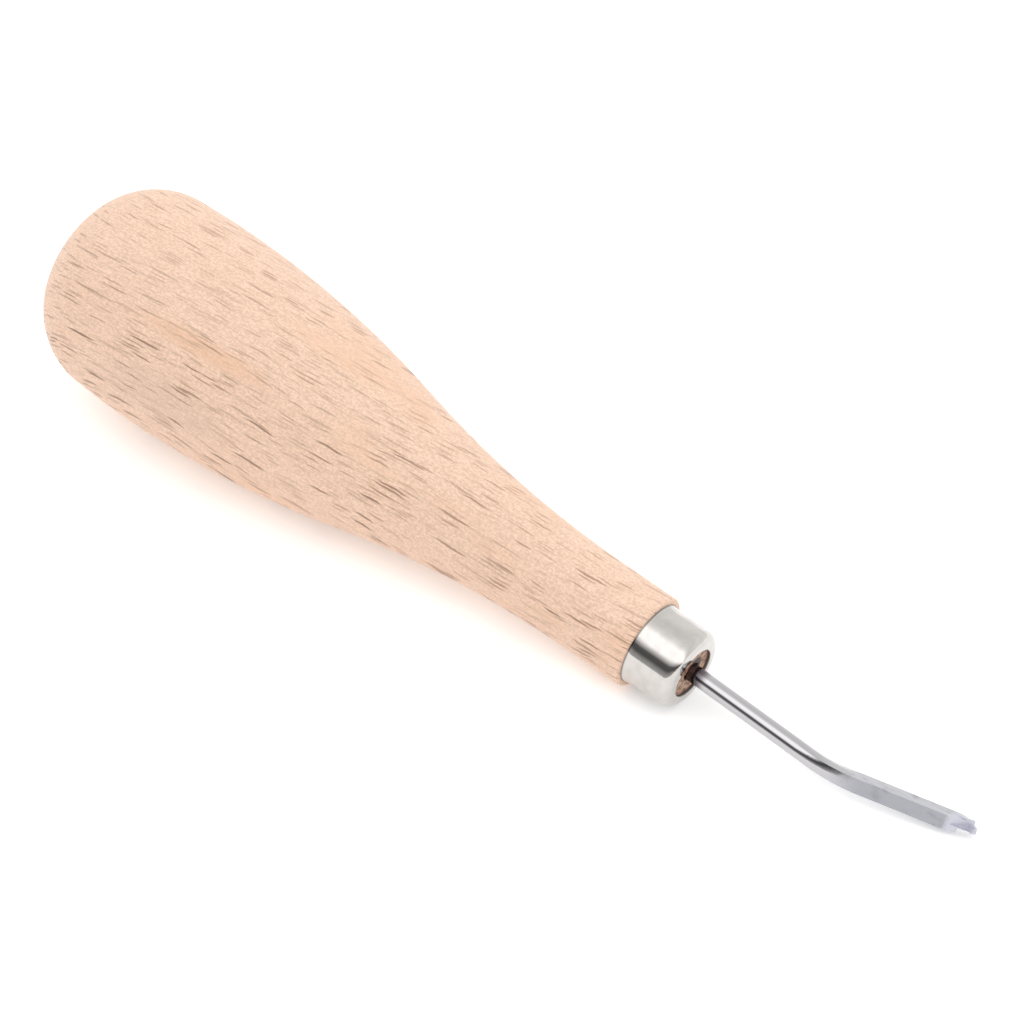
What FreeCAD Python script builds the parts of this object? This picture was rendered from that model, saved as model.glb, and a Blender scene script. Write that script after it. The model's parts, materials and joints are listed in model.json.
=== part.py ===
"""Bent leather awl with a turned beech handle, as a parametric FreeCAD document.

Three pieces: the turned handle with its tenon, the drawn ferrule pushed over the tenon, and the
steel blade whose tang is driven into the handle. All three are drawn in the tool's own frame:
X runs along the handle's axis from the butt (x = 0) to the tip, and the blade bends in the XY
plane towards +Y. One placement then lays the finished tool down on the bench at z = 0, where it
rests on its bulb, on the front rim of its neck and on the lower edge of its blade.
"""
import FreeCAD, Part
import math
import os
import re

import Sketcher
from FreeCAD import Placement, Rotation, Vector

# Driving dimensions in millimetres and degrees.
SIZES = [
    ("handle_length", 110.0),      # butt to the shoulder where the ferrule starts
    ("bulb_diameter", 33.5),       # thickest turned diameter
    ("bulb_station", 21.2),        # distance of that diameter from the butt
    ("crown_radius", 64.0),        # nearly flat end of the butt
    ("corner_radius", 12.6),       # palm rounding between the crown and the flank
    ("flank_radius", 164.0),       # long convex taper
    ("waist_radius", 176.0),       # hollow taper into the neck
    ("neck_diameter", 15.04),
    ("neck_rounding", 0.5),        # eased front edge of the neck
    ("tenon_diameter", 11.9),
    ("tenon_length", 7.7),
    ("hole_clearance", 0.1),       # round the shank, on the radius
    ("hole_depth", 4.0),           # length over which the hole is open round the shank
    ("ferrule_length", 8.2),
    ("ferrule_diameter", 12.9),
    ("flare_diameter", 13.4),      # rim of the ferrule's flared back edge
    ("flare_radius", 2.4),         # hollow curve of the flare
    ("shoulder_radius", 1.6),      # rounded front corner of the ferrule
    ("sheet_gauge", 0.5),
    ("mouth_diameter", 8.0),       # opening the shank leaves through
    ("mouth_rounding", 0.2),
    ("shank_diameter", 2.75),
    ("shank_lean", 1.4),           # the tang was driven in slightly askew
    ("crossing_station", 121.7),   # where the leaning shank crosses the handle's axis
    ("tang_length", 42.0),         # buried point to the tenon's face
    ("tang_taper_length", 20.0),
    ("tang_point_diameter", 1.2),
    ("wing_depth", 18.0),          # back edge of the flattened wings below the tenon's face
    ("wing_length", 8.0),
    ("wing_width", 3.4),
    ("wing_gauge", 1.2),
    ("bend_station", 143.75),       # corner where the shank and blade directions meet
    ("bend_angle", 16.1),          # turn of the blade away from the shank
    ("bend_radius", 30.0),
    ("blade_length", 22.65),        # from the bend's corner to the tip
    ("blade_width", 2.4),          # height of the outer face
    ("blade_gauge", 2.14),
    ("blade_roll", 27.0),          # turn of the blade's section, its outer face upwards
    ("forging_length", 1.6),       # straight shank that is already flattened before the bend
    ("bevel_length", 4.0),         # outer face ground down to the tip
    ("tip_gauge", 0.3),
    ("nose_length", 3.3),          # rounding of the upper edge down to the tip
    ("nose_drop", 1.4),
    ("sole_length", 3.0),          # bevel of the lower edge up to the tip
    ("sole_rise", 0.2),
    ("notch_offset", 0.8),         # solid lip between the tip and the skiving notch
    ("notch_length", 2.0),
    ("notch_depth", 0.55),
    ("web_gauge", 0.2),            # metal left behind the notch
    ("lying_roll", 7.5),           # roll about the handle, the blade hanging just clear of the bench
]

# Formulas over the sheet that several sketches share. Heights across the bend are along +Y.
FACE_STATION = "(handle_length + tenon_length)"
FACE_OFFSET = f"tan(shank_lean) * (crossing_station - {FACE_STATION})"
CORNER_OFFSET = "tan(shank_lean) * (crossing_station - bend_station)"
CORNER_DISTANCE = f"((bend_station - {FACE_STATION}) / cos(shank_lean))"
TANGENT = "(bend_radius * tan(bend_angle / 2))"
HEADING = "(bend_angle - shank_lean)"
HALF_DIAGONAL = "(hypot(blade_width; blade_gauge) / 2)"
CORNER_ANGLE = "(atan(blade_width / blade_gauge) / 1deg)"
BEND_ENTRY = f"({CORNER_DISTANCE} - {TANGENT} - forging_length)"
CUT_MARGIN = "1"

# For each origin plane: the sketch axes lying along X and Y, the sense of the second one, and
# the name of a turn about the tool's Z.
FRAMES = {
    "XY_Plane": ("x", "y", 1, "Yaw"),
    "XZ_Plane": ("x", "z", -1, "Pitch"),
    "YZ_Plane": ("z", "x", 1, "Pitch"),
}

doc = FreeCAD.newDocument("BentAwl")
sheet = doc.addObject("Spreadsheet::Sheet", "Sizes")
for row, (alias, number) in enumerate(SIZES, start=1):
    sheet.set(f"A{row}", alias)
    sheet.set(f"B{row}", str(number))
    sheet.setAlias(f"B{row}", alias)
doc.recompute()


def bound(formula):
    """A formula over aliases, written so that any object of the document can use it."""
    return re.sub(r"[a-z]+(_[a-z]+)+", r"Sizes.\g<0>", formula)


def size(formula):
    """Present value of a formula over aliases."""
    return float(sheet.evalExpression(bound(formula)))


def new_body(label):
    """An empty PartDesign body whose Label is the node's name."""
    body = doc.addObject("PartDesign::Body", label.capitalize())
    body.Label = label
    return body


def new_sketch(body, name, role="XY_Plane", station="0", offset="0", heading="0", roll="0"):
    """A sketch on an origin plane, moved along X and Y, turned about Z and rolled about its X."""
    along, across, sense, turning = FRAMES[role]
    plane = next(item for item in body.Origin.OriginFeatures if item.Role == role)
    sketch = body.newObject("Sketcher::SketchObject", name)
    sketch.AttachmentSupport = [(plane, "")]
    sketch.MapMode = "FlatFace"
    sketch.setExpression(f"AttachmentOffset.Base.{along}", bound(station))
    sketch.setExpression(f"AttachmentOffset.Base.{across}", bound(f"{sense} * ({offset})"))
    sketch.setExpression(f"AttachmentOffset.Rotation.{turning}", bound(heading))
    sketch.setExpression("AttachmentOffset.Rotation.Roll", bound(roll))
    return sketch


def relate(sketch, kind, *references):
    """Add a geometric constraint."""
    sketch.addConstraint(Sketcher.Constraint(kind, *references))


def drive(sketch, kind, references, formula):
    """Add a dimensional constraint bound to the sheet."""
    index = sketch.addConstraint(Sketcher.Constraint(kind, *references, size(formula)))
    sketch.setExpression(f"Constraints[{index}]", bound(formula))


def drive_point(sketch, geometry, point, across, up):
    """Bind one point of a piece of geometry to two formulas, from the sketch's origin."""
    drive(sketch, "DistanceX", (-1, 1, geometry, point), across)
    drive(sketch, "DistanceY", (-1, 1, geometry, point), up)


def add_segment(sketch, start, end):
    return sketch.addGeometry(Part.LineSegment(Vector(*start, 0), Vector(*end, 0)), False)


def add_arc(sketch, centre, radius, first, last):
    """Add a counter-clockwise arc between two angles in degrees."""
    circle = Part.Circle(Vector(*centre, 0), Vector(0, 0, 1), radius)
    piece = Part.ArcOfCircle(circle, math.radians(first), math.radians(last))
    return sketch.addGeometry(piece, False)


def add_polygon(sketch, formulas):
    """Add a closed polygon whose corners are pairs of formulas."""
    corners = [(size(across), size(up)) for across, up in formulas]
    ends = corners[1:] + corners[:1]
    edges = [add_segment(sketch, start, end) for start, end in zip(corners, ends)]
    for edge, following in zip(edges, edges[1:] + edges[:1]):
        relate(sketch, "Coincident", edge, 2, following, 1)
    for edge, (across, up) in zip(edges, formulas):
        drive_point(sketch, edge, 1, across, up)


def add_circle(sketch, radius):
    """Add a circle round the sketch's origin."""
    circle = Part.Circle(Vector(), Vector(0, 0, 1), size(radius))
    index = sketch.addGeometry(circle, False)
    relate(sketch, "Coincident", index, 3, -1, 1)
    drive(sketch, "Radius", (index,), radius)


def turn(body, name, sketch, kind="PartDesign::Revolution"):
    """Revolve a sketch once round its own horizontal axis."""
    feature = body.newObject(kind, name)
    feature.Profile = sketch
    feature.ReferenceAxis = (sketch, ["H_Axis"])
    feature.Angle = 360.0
    doc.recompute()


def cut_through(body, name, sketch):
    """Pocket a sketch through everything on both of its sides."""
    pocket = body.newObject("PartDesign::Pocket", name)
    pocket.Profile = sketch
    pocket.SideType = "Symmetric"
    pocket.Type = "ThroughAll"
    doc.recompute()


def draw_handle_profile(sketch):
    """Half outline of the turned handle: crown, corner, flank, waist, neck, shoulder, tenon."""
    blend = math.degrees(math.acos(
        1 - size("(bulb_diameter - neck_diameter) / 2 / (flank_radius + waist_radius)")))
    waist_station = size("bulb_station") + size("flank_radius + waist_radius") * math.sin(
        math.radians(blend))
    length, neck, tenon = size("handle_length"), size("neck_diameter / 2"), size("tenon_diameter / 2")
    face, easing = size(FACE_STATION), size("neck_rounding")
    inner = size("shoulder_radius - sheet_gauge")
    corner = size("corner_radius")

    crown = add_arc(sketch, (size("crown_radius"), 0), size("crown_radius"), 176, 180)
    palm = add_arc(sketch, (corner, size("bulb_diameter / 2") - corner), corner, 93, 176)
    flank = add_arc(sketch, (size("bulb_station"), size("bulb_diameter / 2 - flank_radius")),
                    size("flank_radius"), 90 - blend, 93)
    waist = add_arc(sketch, (waist_station, size("neck_diameter / 2 + waist_radius")),
                    size("waist_radius"), 270 - blend, 270)
    neck_line = add_segment(sketch, (waist_station, neck), (length - easing, neck))
    rim = add_arc(sketch, (length - easing, neck - easing), easing, 0, 90)
    shoulder = add_segment(sketch, (length, neck - easing), (length, tenon))
    side = add_segment(sketch, (length, tenon), (face - inner, tenon))
    round_end = add_arc(sketch, (face - inner, tenon - inner), inner, 0, 90)
    end = add_segment(sketch, (face, tenon - inner), (face, 0))
    axis = add_segment(sketch, (face, 0), (0, 0))

    for first, first_end, second, second_end in (
            (crown, 1, palm, 2), (palm, 1, flank, 2), (flank, 1, waist, 1),
            (waist, 2, neck_line, 1), (neck_line, 2, rim, 2), (rim, 1, shoulder, 1),
            (side, 2, round_end, 2), (round_end, 1, end, 1)):
        relate(sketch, "Tangent", first, first_end, second, second_end)
    for first, first_end, second, second_end in (
            (shoulder, 2, side, 1), (end, 2, axis, 1), (axis, 2, crown, 2), (axis, 2, -1, 1)):
        relate(sketch, "Coincident", first, first_end, second, second_end)
    relate(sketch, "PointOnObject", crown, 3, -1)
    relate(sketch, "Horizontal", neck_line)
    relate(sketch, "Horizontal", side)
    relate(sketch, "Horizontal", axis)
    relate(sketch, "Vertical", shoulder)
    relate(sketch, "Vertical", end)
    for piece, radius in ((crown, "crown_radius"), (palm, "corner_radius"),
                          (flank, "flank_radius"), (waist, "waist_radius"),
                          (rim, "neck_rounding"), (round_end, "shoulder_radius - sheet_gauge")):
        drive(sketch, "Radius", (piece,), radius)
    drive_point(sketch, flank, 3, "bulb_station", "bulb_diameter / 2 - flank_radius")
    drive(sketch, "DistanceY", (-1, 1, neck_line, 1), "neck_diameter / 2")
    drive_point(sketch, shoulder, 2, "handle_length", "tenon_diameter / 2")
    drive(sketch, "DistanceX", (-1, 1, end, 2), FACE_STATION)


def make_handle():
    """Turned beech handle, bored for the tang, with a slot cut by the tang's wings."""
    body = new_body("handle")
    profile = new_sketch(body, "HandleProfile")
    draw_handle_profile(profile)
    turn(body, "Turning", profile)

    bore = new_sketch(body, "BoreProfile", "XY_Plane", FACE_STATION, FACE_OFFSET, "-shank_lean")
    open_radius = "shank_diameter / 2 + hole_clearance"
    add_polygon(bore, [
        ("-tang_length", "0"),
        ("-tang_length", "tang_point_diameter / 2"),
        ("tang_taper_length - tang_length", "shank_diameter / 2"),
        ("-hole_depth", "shank_diameter / 2"),
        ("-hole_depth", open_radius),
        (CUT_MARGIN, open_radius),
        (CUT_MARGIN, "0"),
    ])
    turn(body, "Bore", bore, "PartDesign::Groove")

    slot_sketch = new_sketch(body, "SlotProfile", "XY_Plane", FACE_STATION, FACE_OFFSET,
                             "-shank_lean")
    add_polygon(slot_sketch, [
        ("-wing_depth", "-wing_width / 2"),
        (CUT_MARGIN, "-wing_width / 2"),
        (CUT_MARGIN, "wing_width / 2"),
        ("-wing_depth", "wing_width / 2"),
    ])
    slot = body.newObject("PartDesign::Pocket", "WingSlot")
    slot.Profile = slot_sketch
    slot.SideType = "Symmetric"
    slot.setExpression("Length", bound("wing_gauge"))
    doc.recompute()
    return body


def draw_ferrule_profile(sketch):
    """Section of the drawn sheet, from the flared rim to the rolled mouth."""
    gauge, flare = size("sheet_gauge"), size("flare_radius")
    tenon, mouth = size("tenon_diameter / 2"), size("mouth_diameter / 2")
    outside = size("ferrule_diameter / 2")
    length, shoulder = size("ferrule_length"), size("shoulder_radius")
    easing = size("mouth_rounding")
    open_angle = math.degrees(math.acos(1 - (size("flare_diameter / 2") - outside) / flare))
    reach = flare * math.sin(math.radians(open_angle))

    hollow = add_arc(sketch, (reach, outside + flare), flare, 270 - open_angle, 270)
    barrel = add_segment(sketch, (reach, outside), (length - shoulder, outside))
    corner = add_arc(sketch, (length - shoulder, outside - shoulder), shoulder, 0, 90)
    face = add_segment(sketch, (length, outside - shoulder), (length, mouth + easing))
    lip = add_arc(sketch, (length - easing, mouth + easing), easing, 270, 360)
    wall = add_segment(sketch, (length - easing, mouth), (length - gauge, mouth))
    inner_face = add_segment(sketch, (length - gauge, mouth), (length - gauge, tenon - shoulder + gauge))
    inner_corner = add_arc(sketch, (length - shoulder, tenon - shoulder + gauge),
                           shoulder - gauge, 0, 90)
    bore = add_segment(sketch, (length - shoulder, tenon), (reach, tenon))
    inner_hollow = add_arc(sketch, (reach, tenon + flare + gauge), flare + gauge, 240, 270)
    rim = add_segment(sketch, (0, tenon + gauge), (0, size("flare_diameter / 2")))

    for first, first_end, second, second_end in (
            (hollow, 2, barrel, 1), (barrel, 2, corner, 2), (corner, 1, face, 1),
            (face, 2, lip, 2), (lip, 1, wall, 1), (inner_face, 2, inner_corner, 1),
            (inner_corner, 2, bore, 1), (bore, 2, inner_hollow, 2)):
        relate(sketch, "Tangent", first, first_end, second, second_end)
    for first, first_end, second, second_end in (
            (wall, 2, inner_face, 1), (inner_hollow, 1, rim, 1), (rim, 2, hollow, 1)):
        relate(sketch, "Coincident", first, first_end, second, second_end)
    relate(sketch, "Vertical", face)
    relate(sketch, "Vertical", rim)
    relate(sketch, "Horizontal", barrel)
    relate(sketch, "Horizontal", wall)
    relate(sketch, "Horizontal", bore)
    for piece, radius in ((hollow, "flare_radius"), (inner_hollow, "flare_radius + sheet_gauge"),
                          (corner, "shoulder_radius"), (lip, "mouth_rounding"),
                          (inner_corner, "shoulder_radius - sheet_gauge")):
        drive(sketch, "Radius", (piece,), radius)
    drive_point(sketch, hollow, 1, "0", "flare_diameter / 2")
    drive(sketch, "DistanceY", (-1, 1, barrel, 1), "ferrule_diameter / 2")
    drive(sketch, "DistanceX", (-1, 1, face, 1), "ferrule_length")
    drive(sketch, "DistanceY", (-1, 1, wall, 1), "mouth_diameter / 2")
    drive(sketch, "DistanceX", (-1, 1, inner_face, 1), "ferrule_length - sheet_gauge")
    relate(sketch, "Vertical", inner_face)
    drive(sketch, "DistanceY", (-1, 1, bore, 1), "tenon_diameter / 2")
    drive(sketch, "DistanceX", (-1, 1, bore, 2), "flare_radius * sin(acos(1 - (flare_diameter - "
          "ferrule_diameter) / 2 / flare_radius))")


def make_ferrule():
    """Drawn and plated ferrule pushed over the tenon, its front turned in round the mouth."""
    body = new_body("ferrule")
    section = new_sketch(body, "FerruleSection", "XY_Plane", "handle_length")
    draw_ferrule_profile(section)
    turn(body, "Drawing", section)
    return body


def draw_bend_path(sketch):
    """Flattened end of the shank and the arc to the blade, in a frame at the bend's corner."""
    radius, reach, angle = size("bend_radius"), size(TANGENT), size("bend_angle")
    run = add_segment(sketch, (-reach - size("forging_length"), 0), (-reach, 0))
    bend = add_arc(sketch, (-reach, radius), radius, 270, 270 + angle)
    relate(sketch, "Coincident", run, 2, bend, 1)
    drive_point(sketch, run, 1, f"-{TANGENT} - forging_length", "0")
    drive_point(sketch, bend, 3, f"-{TANGENT}", "bend_radius")
    drive(sketch, "Radius", (bend,), "bend_radius")
    drive(sketch, "DistanceX", (-1, 1, bend, 1), f"-{TANGENT}")
    drive(sketch, "DistanceX", (-1, 1, bend, 2), f"{TANGENT} * cos(bend_angle)")


def add_bar(body):
    """Round bar from the tapered point of the tang to where the shank is flattened."""
    sketch = new_sketch(body, "BarProfile", "XY_Plane", FACE_STATION, FACE_OFFSET, "-shank_lean")
    add_polygon(sketch, [
        ("-tang_length", "0"),
        ("-tang_length", "tang_point_diameter / 2"),
        ("tang_taper_length - tang_length", "shank_diameter / 2"),
        (BEND_ENTRY, "shank_diameter / 2"),
        (BEND_ENTRY, "0"),
    ])
    turn(body, "Bar", sketch)


def add_wings(body):
    """Flattened wings that stop the tang from turning in the wood."""
    sketch = new_sketch(body, "WingProfile", "XY_Plane", FACE_STATION, FACE_OFFSET, "-shank_lean")
    front = "wing_length - wing_depth"
    add_polygon(sketch, [
        ("-wing_depth", "-wing_width / 2"),
        (front, "-wing_width / 2"),
        (front, "wing_width / 2"),
        ("-wing_depth", "wing_width / 2"),
    ])
    wings = body.newObject("PartDesign::Pad", "Wings")
    wings.Profile = sketch
    wings.SideType = "Symmetric"
    wings.setExpression("Length", bound("wing_gauge"))
    doc.recompute()


def draw_blade_section(sketch):
    """Rolled rectangle of the blade's cross-section."""
    quarters = (f"({CORNER_ANGLE})", f"(180 - {CORNER_ANGLE})", f"(180 + {CORNER_ANGLE})",
                f"(-{CORNER_ANGLE})")
    add_polygon(sketch, [(f"{HALF_DIAGONAL} * cos({angle} - blade_roll)",
                          f"{HALF_DIAGONAL} * sin({angle} - blade_roll)") for angle in quarters])


def add_bend(body):
    """Bend forged from the round shank to the blade's four flats."""
    path = new_sketch(body, "BendPath", "XY_Plane", "bend_station", CORNER_OFFSET, "-shank_lean")
    draw_bend_path(path)
    run = f"({TANGENT} + forging_length)"
    entry = new_sketch(body, "BendEntry", "YZ_Plane",
                       f"bend_station - {run} * cos(shank_lean)",
                       f"{CORNER_OFFSET} + {run} * sin(shank_lean)", "-shank_lean")
    add_circle(entry, "shank_diameter / 2")
    leaving = new_sketch(body, "BendExit", "YZ_Plane",
                         f"bend_station + {TANGENT} * cos{HEADING}",
                         f"{CORNER_OFFSET} + {TANGENT} * sin{HEADING}", HEADING)
    draw_blade_section(leaving)
    bend = body.newObject("PartDesign::AdditivePipe", "Bend")
    bend.Profile = entry
    bend.Spine = path
    bend.Sections = [(leaving, [""])]
    bend.Transformation = "Multisection"
    doc.recompute()


def add_blade_blank(body):
    """Straight four-sided blade, before its tip is ground."""
    sketch = new_sketch(body, "BlankSection", "YZ_Plane",
                        f"bend_station + {TANGENT} * cos{HEADING}",
                        f"{CORNER_OFFSET} + {TANGENT} * sin{HEADING}", HEADING)
    draw_blade_section(sketch)
    blank = body.newObject("PartDesign::Pad", "Blank")
    blank.Profile = sketch
    blank.setExpression("Length", bound(f"blade_length - {TANGENT}"))
    doc.recompute()


def tip_sketch(body, name, role="XZ_Plane", station="bend_station", offset=CORNER_OFFSET):
    """A sketch in the blade's own frame, whose X runs from the bend's corner to the tip."""
    return new_sketch(body, name, role, station, offset, HEADING, "-blade_roll")


def grind_bevel(body):
    """Bevel of the outer face down to the tip."""
    sketch = tip_sketch(body, "BevelProfile", "XY_Plane")
    past_tip = f"blade_length + {CUT_MARGIN}"
    add_polygon(sketch, [
        ("blade_length - bevel_length", "-blade_gauge / 2"),
        ("blade_length - bevel_length", f"-blade_gauge / 2 - {CUT_MARGIN}"),
        (past_tip, f"-blade_gauge / 2 - {CUT_MARGIN}"),
        (past_tip, "blade_gauge / 2 - tip_gauge"),
        ("blade_length", "blade_gauge / 2 - tip_gauge"),
    ])
    cut_through(body, "Bevel", sketch)


def grind_nose(body):
    """Round the upper edge down to the tip."""
    sketch = tip_sketch(body, "NoseProfile")
    length, drop, top = size("nose_length"), size("nose_drop"), size("blade_width / 2")
    radius = (length ** 2 + drop ** 2) / (2 * drop)
    start, tip = size("blade_length - nose_length"), size("blade_length")
    outside = size(f"blade_length + {CUT_MARGIN}")
    above = size(f"blade_width / 2 + {CUT_MARGIN}")
    end_angle = math.degrees(math.asin((radius - drop) / radius))
    curve = add_arc(sketch, (start, top - radius), radius, end_angle, 90)
    step = add_segment(sketch, (tip, top - drop), (outside, top - drop))
    rise = add_segment(sketch, (outside, top - drop), (outside, above))
    back = add_segment(sketch, (outside, above), (start, above))
    fall = add_segment(sketch, (start, above), (start, top))
    for first, second, second_end in ((step, rise, 1), (rise, back, 1), (back, fall, 1)):
        relate(sketch, "Coincident", first, 2, second, second_end)
    relate(sketch, "Coincident", fall, 2, curve, 2)
    relate(sketch, "Coincident", curve, 1, step, 1)
    relate(sketch, "Horizontal", step)
    relate(sketch, "Vertical", rise)
    relate(sketch, "Horizontal", back)
    relate(sketch, "Vertical", fall)
    relate(sketch, "PointOnObject", curve, 3, fall)
    drive_point(sketch, curve, 2, "blade_length - nose_length", "blade_width / 2")
    drive_point(sketch, curve, 1, "blade_length", "blade_width / 2 - nose_drop")
    drive_point(sketch, rise, 2, f"blade_length + {CUT_MARGIN}", f"blade_width / 2 + {CUT_MARGIN}")
    cut_through(body, "Nose", sketch)


def grind_sole(body):
    """Bevel the lower edge up to the tip."""
    sole = tip_sketch(body, "SoleProfile")
    edge, slope = "blade_width / 2", "sole_rise / sole_length"
    add_polygon(sole, [
        ("blade_length - sole_length", f"-{edge}"),
        ("blade_length - sole_length", f"-{edge} - {CUT_MARGIN}"),
        (f"blade_length + {CUT_MARGIN}", f"-{edge} - {CUT_MARGIN}"),
        (f"blade_length + {CUT_MARGIN}", f"-{edge} + {slope} * (sole_length + {CUT_MARGIN})"),
    ])
    cut_through(body, "Sole", sole)


def grind_notch(body):
    """Blind notch in the outer face, behind the lip of the tip."""
    depth = "(blade_gauge / 2 - web_gauge)"
    shift = f"{depth} / cos(blade_roll)"
    notch = tip_sketch(body, "NotchProfile", "XZ_Plane", f"bend_station - {shift} * sin{HEADING}",
                       f"{CORNER_OFFSET} + {shift} * cos{HEADING}")
    front, sole = "blade_length - notch_offset", "-blade_width / 2"
    below = f"{sole} - {CUT_MARGIN}"
    add_polygon(notch, [
        (front, f"{sole} + sole_rise / 2"),
        (f"{front} - notch_length / 3", f"{sole} + sole_rise + notch_depth"),
        (f"{front} - notch_length", f"{sole} + sole_rise / 2"),
        (f"{front} - notch_length", below),
        (front, below),
    ])
    pocket = body.newObject("PartDesign::Pocket", "Notch")
    pocket.Profile = notch
    pocket.Reversed = True
    pocket.setExpression("Length", bound("blade_width"))
    doc.recompute()


def make_blade():
    """One-piece steel blade: tang, round shank, bend and ground blade."""
    body = new_body("blade")
    add_bar(body)
    add_wings(body)
    add_bend(body)
    add_blade_blank(body)
    grind_bevel(body)
    grind_nose(body)
    grind_sole(body)
    grind_notch(body)
    return body


def lying_tilt():
    """Nose-down angle in degrees at which the flank and the neck's rim both touch the bench."""
    across = size("flank_radius - bulb_diameter / 2 + neck_diameter / 2 - neck_rounding")
    along = size("handle_length - neck_rounding - bulb_station")
    reach = size("flank_radius - neck_rounding")
    return math.degrees(math.atan2(along, across) - math.acos(reach / math.hypot(along, across)))


def lay_down(bodies):
    """Roll and tilt the tool onto the bench, with the middle of its footprint at the origin."""
    roll = Rotation(Vector(1, 0, 0), size("lying_roll"))
    tilt = Rotation(Vector(0, 1, 0), lying_tilt())
    turned = Placement(Vector(), tilt * roll)
    shapes = [body.Shape.copy() for body in bodies]
    for shape in shapes:
        shape.Placement = turned * shape.Placement
    box = Part.makeCompound(shapes).optimalBoundingBox(False, False)
    shift = Vector(-box.Center.x, -box.Center.y, -box.ZMin)
    for body in bodies:
        body.Placement = Placement(shift, tilt * roll)
    doc.recompute()


def write_parts(bodies):
    """Check every object of the document, then write one STEP file per node."""
    for item in doc.Objects:
        if "Invalid" in item.State or "Error" in item.State:
            raise ValueError(f"{item.Label}: {item.State}")
    os.makedirs("parts", exist_ok=True)
    for body in bodies:
        if body.Shape.isNull() or not body.Shape.isValid():
            raise ValueError(f"{body.Label}: the shape is not valid")
        body.Shape.exportStep(f"parts/{body.Label}.step")


tool = [make_handle(), make_ferrule(), make_blade()]
lay_down(tool)
write_parts(tool)
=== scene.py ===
"""Looks of the bent leather awl: beech handle, nickel ferrule and steel blade on a pale floor."""
import json
import math

import bpy
from mathutils import Matrix, Vector

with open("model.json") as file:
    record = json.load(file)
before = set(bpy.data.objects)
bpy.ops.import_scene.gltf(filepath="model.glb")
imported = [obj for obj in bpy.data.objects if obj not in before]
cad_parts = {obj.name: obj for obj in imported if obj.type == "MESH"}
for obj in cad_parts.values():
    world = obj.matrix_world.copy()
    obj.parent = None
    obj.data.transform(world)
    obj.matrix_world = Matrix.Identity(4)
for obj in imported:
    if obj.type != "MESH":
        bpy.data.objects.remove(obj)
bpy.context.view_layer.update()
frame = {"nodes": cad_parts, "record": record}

MM = 0.001

# The neck's mount gives the handle's axis; the shank leaves the ferrule along nearly the same line.
neck = next(mount for mount in frame["record"]["mounts"] if mount["name"] == "neck")
AXIS = Vector(neck["axis"]).normalized()
NECK = Vector(neck["pos_m"])

# Where the photographer stood: degrees round and above the tool, degrees of camera roll, metres.
AZIMUTH = 35.37
ELEVATION = 42.99
ROLL = 4.0
DISTANCE = 0.95
LENS = 227.84
AIM = NECK + Vector((-0.02218, 0.00157, 0.00772))
# Heights across the handle's grain, in millimetres, of a warm streak and a greyish shade.
STREAK = 4.6
SHADE = -4.9

# Brightness of the surroundings at angles from the front horizon over the top to the back one.
BANDS = [
    (0, 0.55), (10, 0.38), (19, 0.11), (31, 0.13), (40, 0.75), (50, 1.75), (78, 1.85),
    (92, 1.2), (106, 1.0), (122, 0.95), (140, 1.05), (180, 1.1),
]


class Nodes:
    """The node tree of a material or world, with short calls that add and link nodes."""

    def __init__(self, owner):
        owner.use_nodes = True
        self.owner = owner
        self.tree = owner.node_tree

    def add(self, kind, inputs=None, **settings):
        """Add a node; inputs maps socket names or numbers to values or to other sockets."""
        node = self.tree.nodes.new(kind)
        for key, value in settings.items():
            setattr(node, key, value)
        for key, value in (inputs or {}).items():
            self.put(node.inputs[key], value)
        return node

    def put(self, socket, value):
        """Link a socket to another one, or set its value."""
        if isinstance(value, bpy.types.NodeSocket):
            self.tree.links.new(value, socket)
        else:
            socket.default_value = value

    def math(self, operation, first, second=0.5, third=0.5, clamp=False):
        inputs = {0: first, 1: second, 2: third}
        node = self.add("ShaderNodeMath", inputs, operation=operation, use_clamp=clamp)
        return node.outputs[0]

    def ramp(self, value, low, high, start=0.0, end=1.0):
        """Smooth step of a value from one range to another."""
        node = self.add("ShaderNodeMapRange", {
            "Value": value, "From Min": low, "From Max": high, "To Min": start, "To Max": end,
        }, interpolation_type="SMOOTHSTEP")
        return node.outputs["Result"]

    def mix(self, amount, first, second, blend="MIX"):
        node = self.add("ShaderNodeMix", data_type="RGBA", blend_type=blend)
        self.put(node.inputs["Factor"], amount)
        self.put(node.inputs[6], first)
        self.put(node.inputs[7], second)
        return node.outputs[2]

    def noise(self, vector, scale, detail=2.0, roughness=0.5, distortion=0.0):
        node = self.add("ShaderNodeTexNoise", {
            "Vector": vector, "Scale": scale, "Detail": detail, "Roughness": roughness,
            "Distortion": distortion})
        return node.outputs["Fac"]

    def scaled(self, vector, scale):
        node = self.add("ShaderNodeVectorMath", {0: vector, 1: scale}, operation="MULTIPLY")
        return node.outputs[0]

    def split(self, vector):
        return self.add("ShaderNodeSeparateXYZ", {0: vector}).outputs

    def join(self, x, y, z):
        return self.add("ShaderNodeCombineXYZ", {0: x, 1: y, 2: z}).outputs[0]

    def finish(self, **sockets):
        """Put values on the material's shader; underscores stand for spaces."""
        shader = self.tree.nodes["Principled BSDF"]
        for name, value in sockets.items():
            self.put(shader.inputs[name.replace("_", " ")], value)
        return self.owner


def new_material(name):
    return Nodes(bpy.data.materials.new(name))


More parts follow.
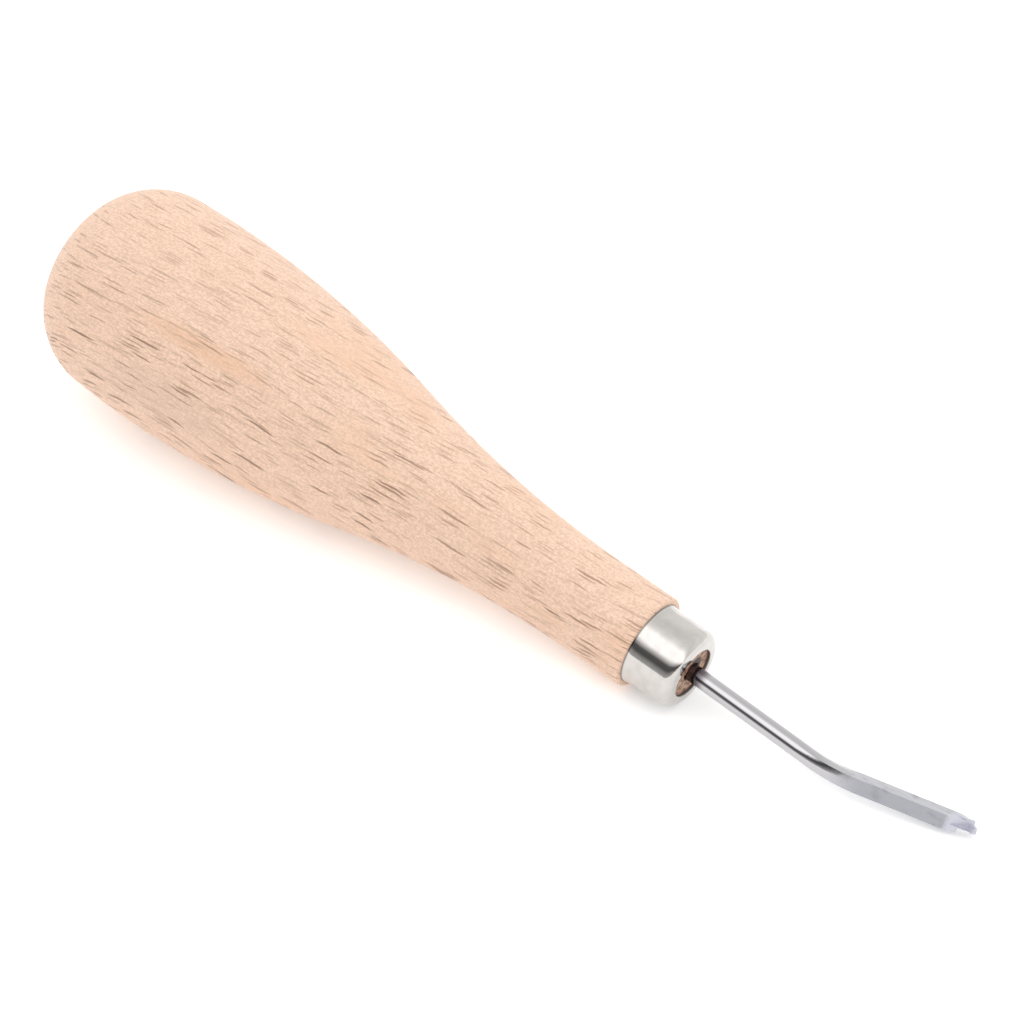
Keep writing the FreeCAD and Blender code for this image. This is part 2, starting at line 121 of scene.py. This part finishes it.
def tool_coordinates(nodes, turn=0.0, skew=0.0):
    """Millimetres along the handle's axis from the neck, and across it; angles in degrees."""
    place = nodes.add("ShaderNodeTexCoord").outputs["Object"]
    tilt = math.asin(-AXIS.z)
    level = Matrix.Rotation(-tilt, 3, "Y")
    turned = Matrix.Rotation(math.radians(turn), 3, "X") @ level
    rotation = Matrix.Rotation(math.radians(skew), 3, "Y") @ turned
    centred = nodes.add("ShaderNodeVectorMath", {0: place, 1: NECK}, operation="SUBTRACT").outputs[0]
    scaled = nodes.add("ShaderNodeMapping", {
        "Vector": centred, "Rotation": rotation.to_euler("XYZ"), "Scale": (1 / MM,) * 3})
    return scaled.outputs[0]


def rgb(red, green, blue):
    return (red, green, blue, 1.0)


def radius_of(nodes, place):
    """Distance from the handle's axis."""
    _, y, z = nodes.split(place)
    square = nodes.math("ADD", nodes.math("MULTIPLY", y, y), nodes.math("MULTIPLY", z, z))
    return nodes.math("SQRT", square)


def patch(nodes, place, along, across, reach, width):
    """Soft oval patch of the wood, 1 in its middle: where it lies and its half sizes."""
    x, _, z = nodes.split(place)
    first = nodes.math("DIVIDE", nodes.math("SUBTRACT", x, along), reach)
    second = nodes.math("DIVIDE", nodes.math("SUBTRACT", z, across), width)
    square = nodes.math("ADD", nodes.math("MULTIPLY", first, first),
                        nodes.math("MULTIPLY", second, second))
    return nodes.ramp(square, 0.1, 1.0, 1.0, 0.0)


def flecks(nodes, place, length, depth, pitch, reach, seed):
    """Lens-shaped flecks, one in each cell of a stretched lattice, of random strength."""
    shifted = nodes.add("ShaderNodeVectorMath", {0: place, 1: (seed, seed * 2, seed * 3)},
                        operation="ADD").outputs[0]
    cells = nodes.add("ShaderNodeTexVoronoi", {
        "Vector": nodes.scaled(shifted, (1 / length, 1 / depth, 1 / pitch)), "Scale": 1.0})
    strength = nodes.split(cells.outputs["Color"])[0]
    lens = nodes.ramp(cells.outputs["Distance"], reach * 0.5, reach, 1.0, 0.0)
    return nodes.math("MULTIPLY", lens, nodes.math("POWER", strength, 1.5))


def beech():
    """Pale beech: short dark ray flecks along the grain, fibres, and warm and cool patches."""
    nodes = new_material("beech")
    grain = tool_coordinates(nodes, turn=49.0, skew=4.5)
    x, y, z = nodes.split(grain)
    waver = nodes.noise(nodes.scaled(grain, (0.30, 0.10, 0.40)), 1.0, 2.0)
    sweep = nodes.noise(nodes.scaled(grain, (0.02, 0.02, 0.03)), 1.0, 1.0)
    shift = nodes.math("ADD", nodes.math("MULTIPLY", waver, 0.55), nodes.math("MULTIPLY", sweep, 5.0))
    bent = nodes.join(x, y, nodes.math("ADD", z, shift))

    emphasis = nodes.ramp(z, -1.0, 12.0, 1.0, 0.55)
    layers = nodes.math("MAXIMUM", flecks(nodes, bent, 11.0, 9.0, 0.62, 0.33, 3.7),
                        flecks(nodes, bent, 8.0, 6.0, 0.50, 0.33, 7.9))
    bold = nodes.math("MULTIPLY", emphasis, layers)
    fine = flecks(nodes, bent, 5.5, 4.0, 0.36, 0.38, 11.3)
    fibres = nodes.noise(nodes.scaled(bent, (0.30, 1.5, 4.5)), 1.0, 3.0, 0.6)
    patches = nodes.noise(nodes.scaled(bent, (0.035, 0.10, 0.16)), 1.0, 2.5, 0.55)
    pores = nodes.noise(nodes.scaled(bent, (2.2, 3.0, 4.0)), 1.0, 2.0, 0.6)
    streak = patch(nodes, grain, -72.0, STREAK, 14.0, 2.0)
    shade = patch(nodes, grain, -76.0, SHADE, 13.0, 4.0)

    pale = nodes.mix(nodes.ramp(pores, 0.38, 0.62), rgb(0.905, 0.645, 0.495), rgb(0.750, 0.515, 0.380))
    warm = nodes.mix(nodes.ramp(patches, 0.50, 0.72, 0.0, 0.6), pale, rgb(0.84, 0.54, 0.37))
    streaked = nodes.mix(nodes.math("MULTIPLY", streak, 0.5), warm, rgb(0.80, 0.48, 0.30))
    shaded = nodes.mix(nodes.math("MULTIPLY", shade, 0.28), streaked, rgb(0.60, 0.44, 0.34))
    fibred = nodes.mix(nodes.ramp(fibres, 0.38, 0.72, 0.0, 0.40), shaded, rgb(0.62, 0.41, 0.28))
    flecked = nodes.mix(nodes.math("MULTIPLY", fine, 0.75), fibred, rgb(0.42, 0.24, 0.16))
    marked = nodes.mix(nodes.math("MULTIPLY", bold, 0.95), flecked, rgb(0.27, 0.145, 0.09))

    across = radius_of(nodes, grain)
    face = nodes.ramp(x, 11.0, 12.0)
    mottle = nodes.noise(grain, 1.7, 3.0, 0.6)
    brown = nodes.mix(nodes.ramp(mottle, 0.42, 0.58), rgb(0.50, 0.32, 0.22), rgb(0.20, 0.09, 0.055))
    # Painted shade: the end-grain face is painted near black in a ring round the shank, where the gap in
    # the hole lies in shade.
    shaded_bore = nodes.mix(nodes.ramp(across, 1.4, 1.75, 1.0, 0.0), brown, rgb(0.045, 0.026, 0.018))
    wood = nodes.mix(face, marked, shaded_bore)

    height = nodes.math("SUBTRACT", nodes.math("MULTIPLY", fibres, 0.35),
                        nodes.math("MULTIPLY", bold, 0.8))
    bump = nodes.add("ShaderNodeBump", {"Strength": 0.35, "Distance": 0.05 * MM, "Height": height})
    rough = nodes.ramp(fibres, 0.3, 0.7, 0.50, 0.62)
    return nodes.finish(Base_Color=wood, Roughness=rough, Normal=bump.outputs[0])


def nickel():
    """Bright nickel plate with faint turning marks, painted shade along its back edge against the wood, and
    painted shade on the inner wall of its mouth.
    """
    nodes = new_material("nickel")
    place = tool_coordinates(nodes)
    x = nodes.split(place)[0]
    rings = nodes.noise(nodes.scaled(place, (14.0, 0.25, 0.25)), 1.0, 3.0, 0.6)
    haze = nodes.noise(place, 0.6, 3.0)
    bump = nodes.add("ShaderNodeBump", {"Strength": 0.08, "Distance": 0.01 * MM, "Height": rings})
    plate = nodes.mix(nodes.ramp(haze, 0.35, 0.7), rgb(0.60, 0.575, 0.55), rgb(0.55, 0.525, 0.50))
    across = radius_of(nodes, place)
    # Painted shade: the inner wall of the mouth, within about 4 mm of the axis at the front, is painted
    # near black, not metallic and rough.
    mouth_shade = nodes.math("MULTIPLY", nodes.ramp(across, 3.95, 4.15, 1.0, 0.0), nodes.ramp(x, 12.0, 12.5))
    # Painted shade: a thin dark line on the plate where the ferrule's back edge meets the wood.
    joint_shade = nodes.mix(nodes.ramp(x, 5.12, 5.32, 0.8, 0.0), plate, rgb(0.16, 0.12, 0.10))
    colour = nodes.mix(mouth_shade, joint_shade, rgb(0.05, 0.035, 0.028))
    rough = nodes.math("MAXIMUM", nodes.ramp(haze, 0.3, 0.7, 0.06, 0.11),
                       nodes.math("MULTIPLY", mouth_shade, 0.7))
    return nodes.finish(Base_Color=colour, Metallic=nodes.math("SUBTRACT", 1.0, mouth_shade),
                        Roughness=rough, Normal=bump.outputs[0])


def steel():
    """Polished shank with painted shade and dark reflection at its base, and a ground blade whose faces
    carry painted light and shade by how far they face up.
    """
    nodes = new_material("steel")
    place = tool_coordinates(nodes)
    x = nodes.split(place)[0]
    ground = nodes.ramp(x, 37.0, 44.0)
    bevel = nodes.ramp(x, 56.2, 56.8)
    lean = nodes.split(nodes.add("ShaderNodeTexCoord").outputs["Normal"])[2]
    # Painted light and shade: the blade's faces are lighter the more their normals point up.
    facet_light = nodes.mix(nodes.ramp(lean, 0.58, 0.78), rgb(0.390, 0.390, 0.425), rgb(0.55, 0.55, 0.575))
    flat = nodes.mix(nodes.math("MULTIPLY", bevel, 0.55), facet_light, rgb(0.66, 0.66, 0.74))
    lines = nodes.noise(nodes.scaled(place, (0.5, 9.0, 9.0)), 1.0, 3.0, 0.65)
    smudge = nodes.noise(nodes.scaled(place, (0.4, 0.9, 0.9)), 1.0, 3.0, 0.6)
    bump = nodes.add("ShaderNodeBump", {"Strength": 0.10, "Distance": 0.01 * MM, "Height": lines})
    clean = nodes.mix(ground, rgb(0.50, 0.49, 0.50), flat)
    stained = nodes.mix(nodes.math("MULTIPLY", ground, 0.5), clean, rgb(0.27, 0.27, 0.29))
    worn = nodes.mix(nodes.ramp(smudge, 0.50, 0.72), clean, stained)
    # Painted shade and dark reflection: the shank is painted dark for its first few millimetres out of the
    # ferrule.
    base_shade = nodes.ramp(x, 14.6, 16.2, 1.0, 0.0)
    colour = nodes.mix(base_shade, worn, rgb(0.13, 0.11, 0.12))
    rough = nodes.math("ADD", nodes.ramp(lines, 0.3, 0.7, 0.08, 0.14), nodes.math("MULTIPLY", ground, 0.22))
    return nodes.finish(Base_Color=colour, Metallic=1.0, Roughness=rough, Normal=bump.outputs[0])


def paint(node, material):
    piece = frame["nodes"][node]
    piece.data.materials.clear()
    piece.data.materials.append(material)


def add_floor():
    """Plain pale floor."""
    bpy.ops.mesh.primitive_plane_add(size=6.0, location=(0, 0, 0))
    floor = bpy.context.object
    floor.name = "floor"
    nodes = new_material("floor_paper")
    paper = nodes.finish(Base_Color=rgb(0.91, 0.91, 0.91), Roughness=0.9, Emission_Color=rgb(1, 1, 1),
                         Emission_Strength=0.28)
    floor.data.materials.append(paper)


def light_studio():
    """Soft surroundings in bands that run parallel to the tool, seen only in light and reflections."""
    world = bpy.data.worlds.new("studio")
    bpy.context.scene.world = world
    nodes = Nodes(world)
    _, y, z = nodes.split(nodes.add("ShaderNodeTexCoord").outputs["Generated"])
    height = nodes.math("ARCTAN2", z, nodes.math("MULTIPLY", y, -1.0))
    bands = nodes.add("ShaderNodeValToRGB", {0: nodes.math("DIVIDE", height, math.pi)})
    elements = bands.color_ramp.elements
    while len(elements) > 1:
        elements.remove(elements[-1])
    for index, (degrees, light) in enumerate(BANDS):
        element = elements[0] if index == 0 else elements.new(degrees / 180)
        element.position = degrees / 180
        element.color = (light, light, light, 1)
    nodes.put(nodes.tree.nodes["Background"].inputs[0], bands.outputs[0])


def add_camera():
    """Long lens, close to where the photographer stood, with a slight roll."""
    azimuth, elevation = math.radians(AZIMUTH), math.radians(ELEVATION)
    back = Vector((math.sin(azimuth) * math.cos(elevation),
                   -math.cos(azimuth) * math.cos(elevation), math.sin(elevation)))
    camera = bpy.data.objects.new("camera", bpy.data.cameras.new("camera"))
    bpy.context.collection.objects.link(camera)
    camera.data.lens = LENS
    camera.data.sensor_width = 36.0
    camera.data.clip_start, camera.data.clip_end = 0.05, 20.0
    level = back.to_track_quat("Z", "Y").to_matrix()
    rolled = level @ Matrix.Rotation(math.radians(ROLL), 3, "Z")
    camera.matrix_world = Matrix.LocRotScale(AIM + back * DISTANCE, rolled, None)
    bpy.context.scene.camera = camera


bpy.context.scene.view_settings.view_transform = "Standard"
paint("handle", beech())
paint("ferrule", nickel())
paint("blade", steel())
add_floor()
light_studio()
add_camera()
